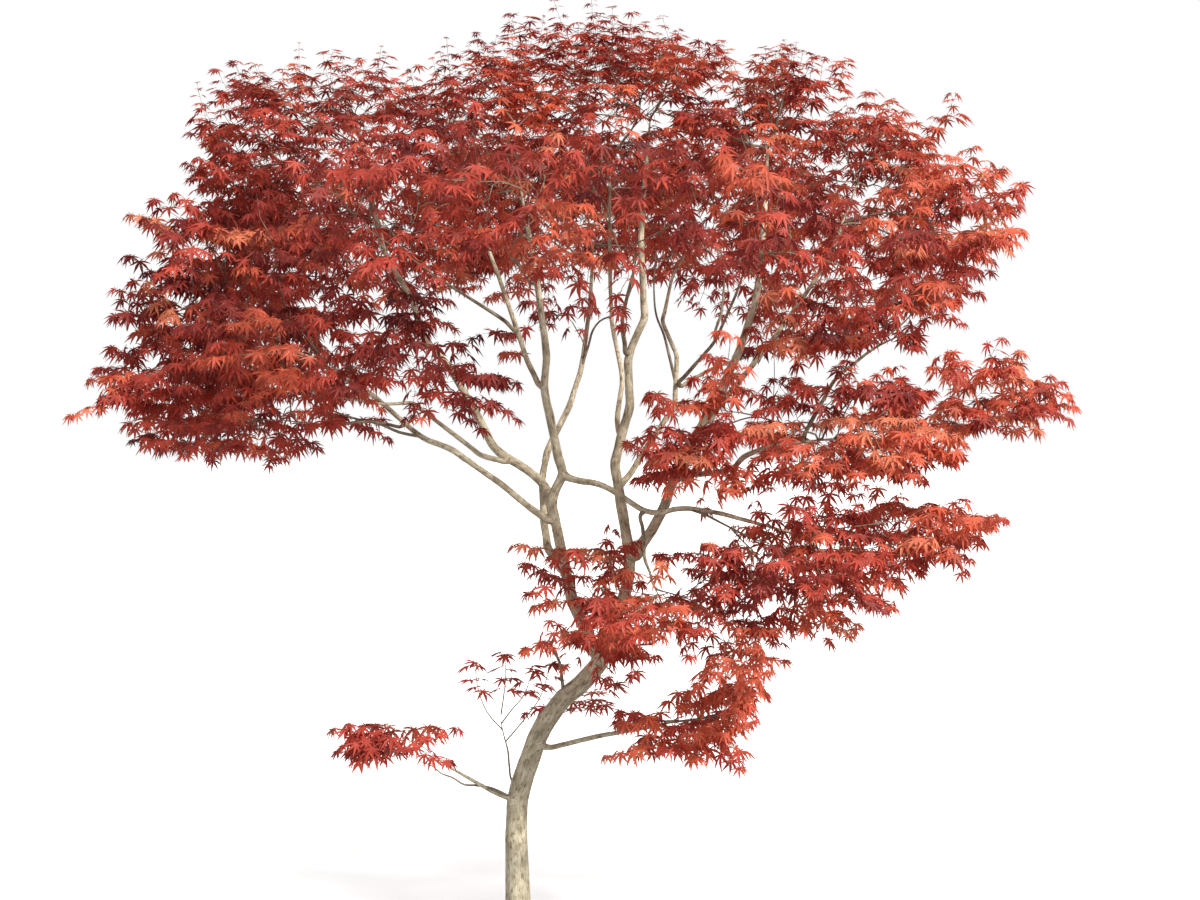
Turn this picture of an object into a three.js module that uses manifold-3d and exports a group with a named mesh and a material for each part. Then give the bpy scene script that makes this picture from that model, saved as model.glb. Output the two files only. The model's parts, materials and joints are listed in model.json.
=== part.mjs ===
// A Japanese maple about 3.7 m tall: one leaning trunk, its limbs, and the tiers of foliage that they carry.
// Millimetres, +Z up. The origin is the centre of the flat cut under the trunk, at ground level.
// +X is the side that the trunk leans towards, and -Y is the tree's front.
import * as THREE from "three";
import { mergeVertices } from "three/addons/utils/BufferGeometryUtils.js";
import Module from "manifold-3d";

const wasm = await Module();
wasm.setup();

// Driving dimensions
const GAP = 1.2; // how much fatter a piece is when it cuts its neighbour, which leaves them a hair apart
const TRUNK_SIDES = 12;
const LIMB_SIDES = 6;
const THIN = 10; // a limb under this radius at its base is a thin one
const THIN_SIDES = 5;
const STEP = 320; // about how long a straight facet along a limb may be
const FIRST_SIDE = [0.31, 0.95, 0.07]; // which way a limb's first corner faces, roughly
const FLARE = 34; // what the root flare adds to the trunk's radius at the ground
const FLARE_HEIGHT = 90; // height in which the flare falls to about a third
const COLLAR = 0.3; // swelling where a limb leaves its parent, as a share of its radius
const UNDERSIDE = 0.75; // a tier of leaves is flatter below than above
const UNEVEN = 0.14; // how far a tier's surface swells and dips, as a share of its size

const bark = new THREE.MeshStandardMaterial({ color: 0x8d8069, roughness: 0.85, metalness: 0 });
const youngBark = new THREE.MeshStandardMaterial({ color: 0x5d5242, roughness: 0.8, metalness: 0 });
const leaves = new THREE.MeshStandardMaterial({ color: 0xa8261f, roughness: 0.6, metalness: 0 });

// The woody frame. A limb leaves its parent at the point of the parent's line that lies nearest to `from`,
// passes through `via` and ends at `tip`. `radius` is at its two ends.
const LIMBS = [
  { name: "trunk", radius: [44, 33], from: [0, 0, -60],
    via: [[0, 0, 40], [0, 0, 130], [-8, 0, 390], [0, 0, 530], [20, 0, 605], [50, 0, 690], [90, 0, 805],
      [170, 0, 915], [270, 0, 1000]], tip: [335, 0, 1080] },
  { name: "left_leader", parent: "trunk", radius: [25, 8], from: [335, 0, 1080],
    via: [[280, -20, 1180], [215, -40, 1325], [185, -55, 1470], [155, -90, 1620], [133, -110, 1725],
      [182, -130, 1820], [165, -130, 1885], [130, -180, 2060], [110, -210, 2150], [122, -270, 2290],
      [88, -370, 2560]], tip: [20, -370, 2950] },
  { name: "right_leader", parent: "trunk", radius: [26, 7], from: [335, 0, 1080],
    via: [[380, 20, 1220], [435, 50, 1355], [450, 60, 1480], [415, 60, 1690], [388, 40, 1860], [412, 30, 1970],
      [447, 0, 2090], [440, 0, 2295], [505, -20, 2450], [490, -50, 2750]], tip: [530, -50, 3260] },
  { name: "back_stem", parent: "left_leader", radius: [17, 6], from: [188, -55, 1450],
    via: [[120, 30, 1520], [100, 100, 1640], [92, 150, 1810], [115, 200, 1925], [200, 310, 2100],
      [252, 410, 2270], [285, 560, 2540]], tip: [300, 860, 2840] },
  { name: "right_stem", parent: "right_leader", radius: [21, 9], from: [450, 60, 1480],
    via: [[520, 35, 1570], [580, 0, 1680], [640, -50, 1860], [755, -110, 2060], [870, -190, 2300],
      [935, -250, 2510]], tip: [985, -180, 3120] },
  { name: "left_high_bough", parent: "back_stem", radius: [18, 7], from: [95, 140, 1775],
    via: [[55, 120, 1825], [-100, 130, 1920], [-155, 160, 2030], [-290, 230, 2260], [-400, 280, 2385],
      [-450, 300, 2540], [-570, 350, 2740]], tip: [-680, 380, 3200] },
  { name: "left_middle_bough", parent: "left_high_bough", radius: [11, 5], from: [-25, 120, 1870],
    via: [[-140, 60, 1890], [-240, 0, 1970], [-410, -110, 2105], [-520, -170, 2100]], tip: [-700, -280, 2125] },
  { name: "left_low_bough", parent: "left_leader", radius: [14, 6], from: [148, -95, 1645],
    via: [[80, -110, 1668], [-60, -115, 1785], [-265, -70, 1925], [-385, -30, 1970], [-580, 60, 2135],
      [-825, 160, 2285]], tip: [-1110, 190, 2400] },
  { name: "left_outer_bough", parent: "left_low_bough", radius: [7, 4], from: [-440, -10, 2012],
    via: [[-590, -80, 2035], [-735, -120, 2018]], tip: [-960, -100, 2040] },
  { name: "upper_left_bough", parent: "left_leader", radius: [11, 5], from: [110, -210, 2150],
    via: [[48, -190, 2255], [5, -170, 2385], [-70, -110, 2600], [-110, -80, 2705]], tip: [-250, 0, 3080] },
  { name: "upper_left_fork", parent: "upper_left_bough", radius: [8, 4], from: [5, -170, 2385],
    via: [[-60, -220, 2435], [-275, -400, 2565]], tip: [-395, -500, 2650] },
  { name: "crossing_bough", parent: "left_leader", radius: [13, 7], from: [182, -130, 1820],
    via: [[240, -160, 1800], [330, -200, 1788], [390, -230, 1755], [490, -280, 1688], [545, -300, 1675],
      [645, -330, 1700], [780, -370, 1680]], tip: [1080, -420, 1600] },
  { name: "hanging_bough", parent: "crossing_bough", radius: [8, 5], from: [485, -280, 1690],
    via: [[495, -320, 1590], [497, -345, 1510], [540, -420, 1395]], tip: [620, -460, 1370] },
  { name: "centre_bough", parent: "right_leader", radius: [11, 5], from: [412, 30, 1965],
    via: [[396, 90, 2045], [422, 200, 2215], [378, 330, 2440], [370, 420, 2640]], tip: [370, 350, 3280] },
  { name: "centre_right_bough", parent: "right_leader", radius: [9.5, 5], from: [440, 0, 2295],
    via: [[418, -100, 2385], [415, -190, 2440]], tip: [470, -500, 2660] },
  { name: "right_back_stem", parent: "right_leader", radius: [13, 5], from: [400, 55, 1770],
    via: [[445, 100, 1815], [535, 180, 1955], [635, 255, 2100], [650, 350, 2310], [592, 450, 2460],
      [640, 640, 2670]], tip: [760, 900, 2880] },
  { name: "right_middle_bough", parent: "right_back_stem", radius: [8, 4], from: [645, 295, 2190],
    via: [[700, 195, 2250], [790, 30, 2355], [855, -220, 2520]], tip: [890, -520, 2650] },
  { name: "right_far_bough", parent: "right_back_stem", radius: [8, 4], from: [645, 290, 2180],
    via: [[815, 440, 2270], [1005, 600, 2335]], tip: [1340, 760, 2600] },
  { name: "right_outer_stem", parent: "right_stem", radius: [12, 6], from: [730, -95, 2010],
    via: [[820, -100, 2120], [980, -90, 2315], [1125, -30, 2510], [1250, 30, 2690]], tip: [1370, 60, 3010] },
  { name: "right_bough", parent: "right_stem", radius: [13, 7], from: [625, -35, 1815],
    via: [[725, -90, 1825], [840, -150, 1838], [885, -180, 1890], [980, -210, 1935]], tip: [1240, -240, 1965] },
  { name: "right_rising_bough", parent: "right_bough", radius: [9, 4], from: [1110, -230, 1955],
    via: [[1155, -235, 2045], [1245, -220, 2200], [1400, -180, 2320]], tip: [1560, -140, 2395] },
  { name: "low_left_bough", parent: "trunk", radius: [10, 4], from: [-5, 0, 515],
    via: [[-75, -30, 545], [-170, -90, 610], [-270, -150, 680]], tip: [-350, -220, 755] },
  { name: "low_right_bough", parent: "trunk", radius: [12, 6], from: [80, 0, 715],
    via: [[165, -30, 742], [320, -100, 790], [560, -200, 845]], tip: [660, -240, 890] },
  { name: "low_twig", parent: "trunk", radius: [5, 3], from: [-5, 0, 545],
    via: [[-32, 10, 620], [-45, 30, 745], [-72, 45, 800]], tip: [-68, 60, 895] },
];

// The tiers of foliage: centre, half width, half depth and half height, and the slope down to the right
// in degrees. `fine` sets how many facets a tier has.
const TIERS = [
  { name: "crown_top", centre: [370, 80, 3350], half: [540, 560, 310], slope: 0 },
  { name: "crown_top_left", centre: [-140, -150, 3180], half: [390, 500, 290], slope: -6 },
  { name: "crown_top_right", centre: [930, 0, 3280], half: [400, 500, 260], slope: 10 },
  { name: "front_centre", centre: [150, -780, 2775], half: [500, 600, 260], slope: -3 },
  { name: "front_right", centre: [800, -780, 2765], half: [370, 560, 250], slope: 6 },
  { name: "right_top", centre: [1460, 100, 3110], half: [410, 500, 220], slope: 16 },
  { name: "right_upper", centre: [1700, -100, 2860], half: [340, 450, 200], slope: 4 },
  { name: "right_shoulder", centre: [1290, -480, 2650], half: [420, 470, 180], slope: 0, fine: 1 },
  { name: "right_tier", centre: [1280, -250, 2380], half: [430, 400, 100], slope: -10, fine: 1 },
  { name: "upper_left", centre: [-900, 250, 3270], half: [530, 550, 260], slope: -8 },
  { name: "upper_left_front", centre: [-480, -640, 2790], half: [430, 600, 250], slope: 0 },
  { name: "left_upper", centre: [-1070, 350, 2990], half: [330, 500, 230], slope: -10 },
  { name: "left_shoulder", centre: [-1150, -100, 2700], half: [380, 500, 200], slope: 8, fine: 1 },
  { name: "left_tier", centre: [-1270, 80, 2450], half: [420, 500, 180], slope: 0, fine: 1 },
  { name: "left_low_tier", centre: [-1380, 80, 2175], half: [380, 470, 180], slope: -4, fine: 1 },
  { name: "left_front_tier", centre: [-890, -450, 2260], half: [420, 420, 190], slope: 4, fine: 1 },
  { name: "left_hem", centre: [-1130, -100, 1990], half: [470, 400, 110], slope: -5, fine: 1 },
  { name: "left_inner_tier", centre: [-380, -600, 2250], half: [375, 320, 125], slope: 35, fine: 1 },
  { name: "inner_right", centre: [720, -450, 1930], half: [270, 350, 210], slope: 0, fine: 1 },
  { name: "right_mid", centre: [1300, -350, 1935], half: [490, 450, 265], slope: 2, fine: 1 },
  { name: "right_far", centre: [1890, -50, 2090], half: [360, 400, 185], slope: -10, fine: 1 },
  { name: "low_right_far", centre: [1530, -200, 1570], half: [380, 400, 165], slope: -10, fine: 1 },
  { name: "low_right_mid", centre: [1080, -450, 1450], half: [380, 410, 245], slope: -4, fine: 1 },
  { name: "hanging_tier", centre: [850, -550, 1165], half: [175, 260, 150], slope: 0, fine: 1 },
  { name: "centre_low", centre: [330, -300, 1315], half: [290, 260, 285], slope: 0, fine: 1 },
  { name: "centre_low_right", centre: [610, -500, 1305], half: [280, 290, 150], slope: 0, fine: 1 },
  { name: "low_left", centre: [-470, -300, 795], half: [225, 220, 105], slope: 8, fine: 1 },
  { name: "low_twig_spray", centre: [-25, 50, 975], half: [190, 130, 115], slope: 0, fine: 1 },
  { name: "low_right", centre: [730, -300, 850], half: [300, 290, 155], slope: -10, fine: 1 },
  { name: "trunk_back_spray", centre: [285, 280, 885], half: [140, 150, 105], slope: 0, fine: 1 },
  { name: "inner_spray", centre: [120, 260, 2500], half: [210, 220, 60], slope: 0, fine: 1 },
  { name: "back_left", centre: [-1000, 1050, 2800], half: [560, 500, 310], slope: -6 },
  { name: "back_centre", centre: [-60, 1150, 3010], half: [600, 540, 340], slope: 0 },
  { name: "back_right", centre: [920, 1080, 2970], half: [560, 560, 340], slope: 6 },
  { name: "back_far_right", centre: [1620, 780, 2700], half: [420, 420, 250], slope: 6, fine: 1 },
  { name: "back_left_tier", centre: [-1180, 880, 2250], half: [420, 420, 160], slope: 0, fine: 1 },
];

const point = ([x, y, z]) => new THREE.Vector3(x, y, z);

// The line a limb follows, which starts on its parent's line.
function limbLine(spec, lines) {
  const start = spec.parent ? nearestOn(lines.get(spec.parent), point(spec.from)) : point(spec.from);
  return new THREE.CatmullRomCurve3([start, ...spec.via.map(point), point(spec.tip)], false, "centripetal");
}

function nearestOn(line, target) {
  return line.getSpacedPoints(400).reduce((best, p) =>
    p.distanceToSquared(target) < best.distanceToSquared(target) ? p : best);
}

// Where the rings of a limb stand: at each point of its line, and between points that are far apart.
function ringsAlong(line) {
  const spans = line.points.length - 1;
  const shares = [0];
  for (let i = 0; i < spans; i++) {
    const parts = Math.max(1, Math.round(line.points[i].distanceTo(line.points[i + 1]) / STEP));
    for (let k = 1; k <= parts; k++) shares.push((i + k / parts) / spans);
  }
  let side = new THREE.Vector3(...FIRST_SIDE);
  let far = 0;
  let last = line.getPoint(0);
  return shares.map((share) => {
    const centre = line.getPoint(share);
    const along = line.getTangent(share);
    side = side.clone().addScaledVector(along, -side.dot(along)).normalize();
    far += centre.distanceTo(last);
    last = centre;
    return { centre, side, other: new THREE.Vector3().crossVectors(along, side), far };
  });
}

// A cylinder bent along a line, with its rings square to the line. radiusAt tapers it by the distance along.
function bentCylinder(line, radiusAt, sides) {
  const rings = ringsAlong(line);
  const steps = rings.length - 1;
  const geometry = new THREE.CylinderGeometry(1, 1, 1, sides, steps);
  const place = geometry.getAttribute("position");
  for (let i = 0; i < place.count; i++) {
    const ring = rings[Math.round((place.getY(i) + 0.5) * steps)];
    const radius = radiusAt(ring.far, ring.far / rings[steps].far);
    const p = ring.centre.clone()
      .addScaledVector(ring.side, place.getX(i) * radius)
      .addScaledVector(ring.other, -place.getZ(i) * radius);
    place.setXYZ(i, p.x, p.y, p.z);
  }
  return geometry;
}

function limbSolid(spec, line, grow) {
  const [base, tip] = spec.radius;
  const flare = (far) => spec.parent
    ? base * COLLAR * Math.exp(-far / (2 * base))
    : FLARE * Math.exp(-far / FLARE_HEIGHT);
  const radiusAt = (far, share) => THREE.MathUtils.lerp(base, tip, share) + flare(far) + grow;
  const limbSides = base < THIN ? THIN_SIDES : LIMB_SIDES;
  return solidOf(bentCylinder(line, radiusAt, spec.parent ? limbSides : TRUNK_SIDES));
}

// One tier: a ball whose surface swells and dips, flatter below, stretched to its half sizes and sloped.
function tierSolid(spec, index, grow) {
  const geometry = new THREE.IcosahedronGeometry(1, spec.fine ?? 2);
  const place = geometry.getAttribute("position");
  const size = point(spec.half).addScalar(grow);
  const turn = new THREE.Matrix4().makeRotationY(THREE.MathUtils.degToRad(spec.slope));
  for (let i = 0; i < place.count; i++) {
    const n = new THREE.Vector3().fromBufferAttribute(place, i).normalize();
    const swell = 1 + UNEVEN * (Math.sin(3.1 * n.x + 2.3 * n.y + index * 1.7)
      * Math.cos(2.7 * n.y - 3.3 * n.z + index * 2.9) + 0.5 * Math.sin(5.3 * n.x - 4.1 * n.y + index));
    const p = n.multiply(size).multiplyScalar(swell);
    if (p.z < 0) p.z *= UNDERSIDE;
    p.applyMatrix4(turn).add(point(spec.centre));
    place.setXYZ(i, p.x, p.y, p.z);
  }
  return solidOf(geometry);
}

function solidOf(geometry) {
  geometry.deleteAttribute("normal");
  geometry.deleteAttribute("uv");
  const merged = mergeVertices(geometry, 1e-3);
  const solid = new wasm.Manifold(new wasm.Mesh({
    numProp: 3,
    vertProperties: new Float32Array(merged.getAttribute("position").array),
    triVerts: new Uint32Array(merged.index.array),
  }));
  if (solid.volume() < 0) throw new Error("a solid is inside out");
  return solid;
}

// What is left of a solid after the cutters that reach it: its largest single body.
function cutBy(solid, cutters) {
  const boxOf = (s) => {
    const { min, max } = s.boundingBox();
    return new THREE.Box3(point(min), point(max));
  };
  const near = cutters.filter((cutter) => boxOf(cutter).intersectsBox(boxOf(solid)));
  const rest = near.reduce((left, cutter) => left.subtract(cutter), solid);
  return rest.decompose().reduce((a, b) => (a.volume() > b.volume() ? a : b));
}

// A named mesh whose own origin is `home`, so that it can be moved or replaced as one piece.
function meshOf(name, solid, home, material) {
  const { numProp, vertProperties, triVerts } = solid.getMesh();
  const places = new Float32Array(vertProperties.length / numProp * 3);
  for (let i = 0; i < places.length / 3; i++)
    for (let axis = 0; axis < 3; axis++)
      places[3 * i + axis] = vertProperties[numProp * i + axis] - home.getComponent(axis);
  const geometry = new THREE.BufferGeometry();
  geometry.setAttribute("position", new THREE.BufferAttribute(places, 3));
  geometry.setIndex(new THREE.BufferAttribute(new Uint32Array(triVerts), 1));
  geometry.computeVertexNormals();
  const mesh = new THREE.Mesh(geometry, material);
  mesh.name = name;
  mesh.position.copy(home);
  return mesh;
}

const wood = new THREE.Group();
const lines = new Map();
const cutters = [];
for (const spec of LIMBS) {
  const line = limbLine(spec, lines);
  lines.set(spec.name, line);
  const whole = limbSolid(spec, line, 0);
  const solid = spec.parent ? cutBy(whole, cutters) : whole.trimByPlane([0, 0, 1], 0);
  cutters.push(limbSolid(spec, line, GAP));
  const home = spec.parent ? line.getPoint(0) : new THREE.Vector3();
  wood.add(meshOf(spec.name, solid, home, spec.radius[0] < THIN ? youngBark : bark));
}

const foliage = new THREE.Group();
TIERS.forEach((spec, index) => {
  const solid = cutBy(tierSolid(spec, index, 0), cutters);
  cutters.push(tierSolid(spec, index, GAP));
  foliage.add(meshOf(spec.name, solid, point(spec.centre), leaves));
});

const tree = new THREE.Group();
tree.add(wood, foliage);
export default tree;
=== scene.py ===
import json
import math

import bpy
import numpy as np
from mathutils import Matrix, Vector, kdtree, noise
from mathutils.bvhtree import BVHTree


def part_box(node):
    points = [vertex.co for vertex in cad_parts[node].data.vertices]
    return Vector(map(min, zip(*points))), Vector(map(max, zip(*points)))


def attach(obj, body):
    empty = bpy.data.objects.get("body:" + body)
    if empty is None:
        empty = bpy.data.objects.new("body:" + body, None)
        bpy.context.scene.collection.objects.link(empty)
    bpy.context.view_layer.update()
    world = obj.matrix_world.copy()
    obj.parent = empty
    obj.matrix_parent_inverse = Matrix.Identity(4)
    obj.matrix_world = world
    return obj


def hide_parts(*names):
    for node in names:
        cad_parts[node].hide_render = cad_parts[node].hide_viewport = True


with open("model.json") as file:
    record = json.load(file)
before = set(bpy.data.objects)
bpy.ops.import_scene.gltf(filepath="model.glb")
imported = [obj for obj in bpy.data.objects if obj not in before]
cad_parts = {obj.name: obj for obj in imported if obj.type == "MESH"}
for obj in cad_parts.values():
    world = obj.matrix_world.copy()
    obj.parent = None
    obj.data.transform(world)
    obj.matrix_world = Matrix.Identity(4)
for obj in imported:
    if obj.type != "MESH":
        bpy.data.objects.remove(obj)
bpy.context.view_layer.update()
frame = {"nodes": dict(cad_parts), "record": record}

rng = np.random.default_rng(11)
UP = np.array([0.0, 0.0, 1.0])

# Wood. A limb's line is found from cuts across its CAD node, one each SECTION, and drawn in rings.
# It swells where it joins its parent, by COLLAR, and thins over its last TIP_TAPER. Below CALM_HEIGHT the
# trunk tapers evenly and then flares into the ground.
SECTION = 0.03
RING_STEP = 0.012
LIMB_SIDES = 20
LIMB_SWELL = 1.1
ANY_SIDE = (0.31, 0.95, 0.07)
VOXEL = {"bark": 0.0032, "young_bark": 0.0022}
MOST_BARK_FACES = {"bark": 120000, "young_bark": 70000}
COLLAR = 0.35
COLLAR_REACH = 1.7
TIP_TAPER = 0.2
TIP_SHARE = 0.5
CALM_HEIGHT = 0.26
TRUNK_TAPER = 0.012
FLARE_HEIGHT = 0.07

# Foliage: how the twigs' nodes are spread in a tier. An inset draws them in from the tier's bounds, and
# one below zero lets them out past it, on the crown's inner side and at a tier's top and bottom
LAYER = 0.08
NODE_STEP = 0.074
JITTER = 0.45
DOME = 0.3
INSET = 0.1
INSET_INNER = -0.06
INSET_TOP = -0.02
INSET_BOTTOM = -0.01
INSET_FROM = 3.05
INSET_OVER = 0.35
CROWN_MIDDLE = (0.25, 0.15, 2.7)
LEAST_HALF = 0.4

# How far apart a tier's nodes are, against the usual step
SPARSE = {
    "trunk_back_spray": 1.5, "inner_spray": 1.3, "front_centre": 1.3, "front_right": 1.3,
    "upper_left_front": 1.22, "upper_left": 1.08, "left_upper": 1.06,
    "back_left": 0.98, "back_centre": 1.02, "back_right": 1.08,
    "back_far_right": 1.1, "back_left_tier": 1.06,
    "crown_top": 1.06, "crown_top_left": 1.08, "crown_top_right": 1.06, "right_top": 1.08,
    "right_upper": 1.06, "right_shoulder": 1.12, "left_front_tier": 1.05, "right_mid": 1.05,
    "low_left": 0.8, "low_right": 0.92, "centre_low": 1.08, "hanging_tier": 0.92,
}

# Gaps in the foliage through which the sky shows: the middle and half size of each
OPENINGS = (
    ((1.43, -0.35, 1.775), (0.20, 0.7, 0.07)),
    ((0.84, -0.3, 2.43), (0.15, 0.7, 0.14)),
    ((0.62, -0.5, 1.13), (0.12, 0.5, 0.12)),
    ((0.78, -0.2, 1.66), (0.16, 0.8, 0.08)),
    ((0.03, -0.3, 1.30), (0.10, 0.5, 0.20)),
    ((0.87, -0.4, 1.90), (0.09, 0.5, 0.05)),
    ((0.42, -0.45, 1.93), (0.10, 0.5, 0.25)),
    ((-1.5, -0.2, 1.82), (0.50, 0.7, 0.13)),
    ((-0.79, 0.0, 1.72), (0.25, 0.7, 0.12)),
    ((-1.45, -0.2, 2.96), (0.25, 0.7, 0.09)),
    ((-0.19, -0.3, 0.70), (0.13, 0.5, 0.20)),
    ((0.75, -0.3, 0.68), (0.45, 0.7, 0.08)),
    ((1.75, -0.2, 1.42), (0.12, 0.7, 0.08)),
    ((-1.28, 0.0, 3.40), (0.16, 0.8, 0.12)),
    ((-0.55, -0.3, 0.93), (0.30, 0.5, 0.08)),
    ((0.36, -0.3, 0.86), (0.10, 0.5, 0.12)),
    ((0.0, -0.3, 1.50), (0.10, 0.5, 0.15)),
    ((0.45, -0.3, 1.62), (0.12, 0.5, 0.10)),
)

# Small holes everywhere: their size, and the noise above which a node is left out
HOLE_SIZE = 0.14
HOLE_LEVEL = 0.17

# The crown is more open low down, where the limbs show through it
OPEN_HEIGHT = 2.68
OPEN_SPREAD = 0.27
OPEN_MORE = 0.21
OPEN_BACK = 0.08
BACK_FROM = 0.4
BACK_INNER = -0.14

# The crown's hem hangs lower in some places than in others
HEM_FROM = 2.4
HEM_SIZE = 0.3
HEM_DROP = 0.42

# Where the upright shoots of the crown's top begin
TOP_FROM = 2.75
TOP_OVER = 0.5

# Side twigs with a shape of their own: the limb each starts on, its radius at the base and at the tip,
# and its way
SIDE_TWIGS = {
    "fork_twig": ("trunk", 0.007, 0.003, (
        (0.345, 0.0, 1.04), (0.404, -0.02, 1.076), (0.448, -0.03, 1.112), (0.504, -0.05, 1.136),
        (0.548, -0.07, 1.14), (0.576, -0.09, 1.168), (0.59, -0.1, 1.21))),
    "left_stem": ("trunk", 0.008, 0.0025, (
        (0.188, 0.0, 0.928), (0.178, -0.02, 1.004), (0.168, -0.03, 1.076), (0.151, -0.04, 1.112),
        (0.136, -0.05, 1.148), (0.151, -0.06, 1.184), (0.20, -0.08, 1.22))),
    "crossing_fork": ("crossing_bough", 0.006, 0.003, (
        (0.67, -0.33, 1.70), (0.737, -0.37, 1.673), (0.788, -0.4, 1.647), (0.849, -0.42, 1.616),
        (0.909, -0.45, 1.586))),
    "crossing_twig": ("crossing_fork", 0.004, 0.002, (
        (0.833, -0.41, 1.62), (0.87, -0.43, 1.575), (0.906, -0.45, 1.54))),
    "low_left_path": ("low_left_bough", 0.006, 0.002, (
        (-0.024, 0.0, 0.50), (-0.127, -0.06, 0.57), (-0.175, -0.08, 0.58), (-0.21, -0.1, 0.585),
        (-0.26, -0.13, 0.62), (-0.30, -0.16, 0.64), (-0.33, -0.18, 0.67), (-0.37, -0.2, 0.69))),
    "outer_branch": ("left_low_bough", 0.007, 0.003, (
        (-0.40, -0.05, 1.97), (-0.48, -0.06, 1.99), (-0.55, -0.07, 2.02), (-0.64, -0.08, 2.04),
        (-0.75, -0.09, 2.08), (-0.85, -0.1, 2.15))),
    "back_fork": ("back_stem", 0.006, 0.0025, (
        (0.253, 0.4, 2.27), (0.282, 0.42, 2.365), (0.30, 0.45, 2.43), (0.328, 0.48, 2.47),
        (0.41, 0.5, 2.51), (0.46, 0.51, 2.60), (0.48, 0.52, 2.72))),
    "leader_fork": ("left_leader", 0.008, 0.004, (
        (0.09, -0.38, 2.55), (0.065, -0.4, 2.56), (0.023, -0.42, 2.617), (-0.02, -0.45, 2.66))),
    "middle_fork": ("right_middle_bough", 0.007, 0.003, (
        (0.76, 0.0, 2.33), (0.774, 0.02, 2.37), (0.80, 0.04, 2.45), (0.81, 0.06, 2.52),
        (0.82, 0.07, 2.62), (0.85, 0.08, 2.72))),
    "right_back_fork": ("right_back_stem", 0.007, 0.003, (
        (0.63, 0.32, 2.19), (0.606, 0.36, 2.33), (0.59, 0.4, 2.40), (0.56, 0.43, 2.48),
        (0.55, 0.46, 2.59), (0.56, 0.5, 2.76))),
}

# Thin upright shoots with small flat leaves in well spaced pairs, on the low twig and behind the trunk:
# the limb each starts on, how many pairs it bears, and its way
FINE_SHOOTS = (
    ("low_twig", 3, (
        (-0.068, 0.045, 0.80), (-0.12, 0.03, 0.86), (-0.155, 0.02, 0.94), (-0.172, 0.02, 1.035))),
    ("low_twig", 4, (
        (-0.07, 0.055, 0.86), (-0.06, 0.06, 0.93), (-0.052, 0.05, 1.0), (-0.052, 0.05, 1.075))),
    ("low_twig", 3, (
        (-0.072, 0.045, 0.82), (-0.03, 0.06, 0.87), (0.02, 0.07, 0.93), (0.05, 0.07, 1.01))),
    ("low_twig", 4, (
        (-0.05, 0.035, 0.75), (0.02, 0.07, 0.83), (0.08, 0.09, 0.91), (0.125, 0.1, 1.035))),
    ("trunk", 3, (
        (0.22, 0.02, 0.92), (0.27, 0.07, 0.93), (0.32, 0.12, 0.935), (0.37, 0.16, 0.95))),
    ("trunk", 3, (
        (0.2, 0.02, 0.86), (0.24, 0.08, 0.865), (0.28, 0.13, 0.87), (0.31, 0.17, 0.885))),
)
FINE_BASE = 0.003
FINE_TIP = 0.0014
FINE_SPACING = 0.045
FINE_SPRAY = 900000
FINE_FLATNESS = 0.8
FINE_SCALE = 1.2

# The branching rule: what a join costs for a turn, and for its way back to the limb or to the limb's tip
TURN = 0.7
BACK = 0.22
LIMB_BACK = 0.35

# Twigs: a twig's radius grows with the nodes it carries, leaves sit where it carries few, and the nodes
# past a fork that carries no more than SPRAY share their tone
TIP_RADIUS = 0.0012
LEAST_RADIUS = 0.0007
PIPE = 2.35
LEAFY = 7
SPRAY = 7
EASING_ROUNDS = 3
SHOOT_STEP = 0.05
SHOOT_LUCK = 0.3

# A leaf: the angle and length of each lobe, and the shape of the lobes
LEAF_SIZE = 0.07
TOP_LEAF_SIZE = 0.058
LOBES = ((-128, 0.38), (-80, 0.74), (-39, 0.93), (0, 1.0), (39, 0.93), (80, 0.74), (128, 0.38))
LOBE_WIDTH = 0.1
WIDEST = 0.45
SINUS = 0.25
FOLD = 0.045
DROOPS = (0.05, 0.12, 0.21, 0.32)
LOW_DIP = 50
TOP_DIP = 13
STALK_WIDTH = 0.0011
FLAT_FROM = 2.85
FLAT_OVER = 0.75
MOST_LEAF_FACES = 190000

# Autumn tones from dark to pale, dealt out by spray and by place: name, base colour. The spread is partly
# the leaves' own colour and partly painted light and shade: the dark tones stand in part for leaves in
# shade, the pale ones for sunlit leaves
TONES = (("dusk", (0.17, 0.022, 0.021)), ("crimson", (0.31, 0.040, 0.032)), ("red", (0.50, 0.068, 0.045)),
         ("scarlet", (0.66, 0.130, 0.070)), ("coral", (0.75, 0.225, 0.125)))
GLOW = 0.31

# Stage
EYE = (0.328, -8.0, 1.92)
FLOOR = 300
SUN_WAY = (1.15, -1.15, 1.35)


def unit(v):
    return v / np.maximum(np.linalg.norm(v, axis=-1, keepdims=True), 1e-9)


def cad_mesh(node):
    """A CAD node's corners, each counted once, and its triangles."""
    mesh = frame["nodes"][node].data
    mesh.calc_loop_triangles()
    triangles = np.empty(3 * len(mesh.loop_triangles), np.int32)
    mesh.loop_triangles.foreach_get("vertices", triangles)
    places = np.empty(3 * len(mesh.vertices))
    mesh.vertices.foreach_get("co", places)
    places = places.reshape(-1, 3)
    _, first, same = np.unique(places.round(5), axis=0, return_index=True, return_inverse=True)
    return places[first], same.reshape(-1)[triangles].reshape(-1, 3)


def mesh_of(name, places, faces):
    """A mesh from arrays, in which every face has the same number of corners."""
    mesh = bpy.data.meshes.new(name)
    mesh.vertices.add(len(places))
    mesh.vertices.foreach_set("co", np.asarray(places, np.float32).ravel())
    mesh.loops.add(faces.size)
    mesh.loops.foreach_set("vertex_index", np.asarray(faces, np.int32).ravel())
    mesh.polygons.add(len(faces))
    mesh.polygons.foreach_set("loop_start", np.arange(0, faces.size, faces.shape[1], dtype=np.int32))
    mesh.update(calc_edges=True)
    mesh.validate()
    return mesh


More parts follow.
